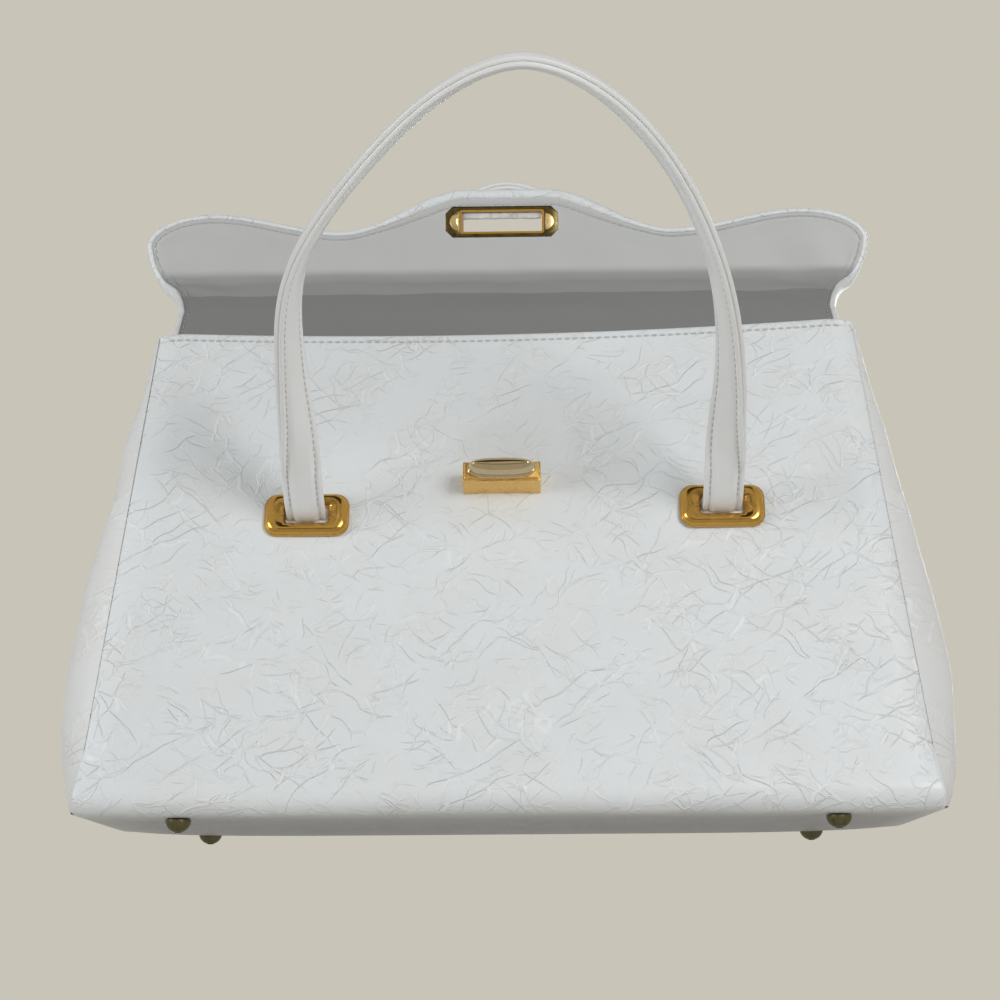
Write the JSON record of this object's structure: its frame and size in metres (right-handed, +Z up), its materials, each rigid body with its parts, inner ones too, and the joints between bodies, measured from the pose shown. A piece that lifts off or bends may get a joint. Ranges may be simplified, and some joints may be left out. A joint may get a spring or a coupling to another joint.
{
  "type": "top handle handbag",
  "caption": "Structured white leather handbag, widening to its base, with an open lobed flap, a turn lock and eye, twin twisted strap handles and metal feet.",
  "frame": {"origin": "under the middle of the whole bag as it stands open, on the plane that its four feet stand on", "axes": "+Z up, +X along the bag's width to its right-hand side as seen from the front, the front faces -Y; X is the mirror axis"},
  "size_m": [0.305, 0.2982, 0.2892],
  "materials": {
    "white_leather": "smooth-coated white leather with fine raised creases, satin",
    "gusset_leather": "the same coated leather, softer, on the folding sides",
    "strap_leather": "coated white leather in two stitched layers, satin",
    "pale_lining": "pale grey smooth lining skin, softly wrinkled",
    "stiff_board": "fibre stiffener board, out of sight",
    "gold_plate": "polished gold plating",
    "bright_gold": "mirror-bright pale gold plating",
    "aged_brass": "darkened, aged brass",
    "plain_steel": "plain zinc-grey steel, out of sight"
  },
  "bodies": {
    "bag": {"back_board": "stiff_board", "back_left_backing": "plain_steel", "back_left_strap_end": "strap_leather", "back_left_strap_plate": "gold_plate", "back_right_backing": "plain_steel", "back_right_strap_end": "strap_leather", "back_right_strap_plate": "gold_plate", "base_board": "stiff_board", "flap_hinge_band": "white_leather", "foot_1": "aged_brass", "foot_2": "aged_brass", "foot_3": "aged_brass", "foot_4": "aged_brass", "foot_washer_1": "plain_steel", "foot_washer_2": "plain_steel", "foot_washer_3": "plain_steel", "foot_washer_4": "plain_steel", "front_board": "stiff_board", "front_left_backing": "plain_steel", "front_left_strap_end": "strap_leather", "front_left_strap_plate": "gold_plate", "front_right_backing": "plain_steel", "front_right_strap_end": "strap_leather", "front_right_strap_plate": "gold_plate", "inner_pocket": "pale_lining", "left_gusset": "gusset_leather", "lining": "pale_lining", "lock_backing": "plain_steel", "lock_base": "gold_plate", "lock_rivet_left": "plain_steel", "lock_rivet_right": "plain_steel", "outer_shell": "white_leather", "right_gusset": "gusset_leather"},
    "flap_bridge": {"flap_bridge_board": "stiff_board", "flap_bridge_leather": "white_leather", "flap_bridge_lining": "pale_lining"},
    "flap_strip": {"flap_strip_board": "stiff_board", "flap_strip_leather": "white_leather", "flap_strip_lining": "pale_lining"},
    "flap_front": {"eye_plate_inner": "aged_brass", "eye_plate_outer": "gold_plate", "flap_front_board": "stiff_board", "flap_front_leather": "white_leather", "flap_front_lining": "pale_lining"},
    "front_handle": {"front_handle_core": "strap_leather", "front_handle_inner": "strap_leather", "front_handle_outer": "strap_leather"},
    "back_handle": {"back_handle_core": "strap_leather", "back_handle_inner": "strap_leather", "back_handle_outer": "strap_leather"},
    "turn_knob": {"lock_knob": "bright_gold"}
  },
  "joints": [
    {"name": "flap_hinge", "type": "hinge", "parent": "bag", "child": "flap_bridge", "pos_m": [0, 0.0526, 0.1926], "axis": [1, 0, 0], "range_deg": [0, 132]},
    {"name": "flap_front_fold", "type": "hinge", "parent": "flap_bridge", "child": "flap_strip", "pos_m": [0, 0.07, 0.21192], "axis": [1, 0, 0], "range_deg": [0, 91.93]},
    {"name": "tongue_crease", "type": "hinge", "parent": "flap_strip", "child": "flap_front", "pos_m": [0, 0.10565, 0.23597], "axis": [1, 0, 0], "range_deg": [-63, 0]},
    {"name": "front_handle_swing", "type": "hinge", "parent": "bag", "child": "front_handle", "pos_m": [0, 0.00516, 0.11827], "axis": [1, 0, 0], "range_deg": [-55, 72]},
    {"name": "back_handle_swing", "type": "hinge", "parent": "bag", "child": "back_handle", "pos_m": [0, 0.07604, 0.11827], "axis": [-1, 0, 0], "range_deg": [-1, 105]},
    {"name": "lock_turn", "type": "hinge", "parent": "bag", "child": "turn_knob", "pos_m": [0, 0.01479, 0.12746], "axis": [0, -0.9779, 0.2092], "range_deg": [0, 90]}
  ],
  "couplings": [
    {"joint": "flap_front_fold", "follows": "flap_hinge", "ratio": 0.69641},
    {"joint": "tongue_crease", "follows": "flap_hinge", "ratio": -0.47727}
  ]
}
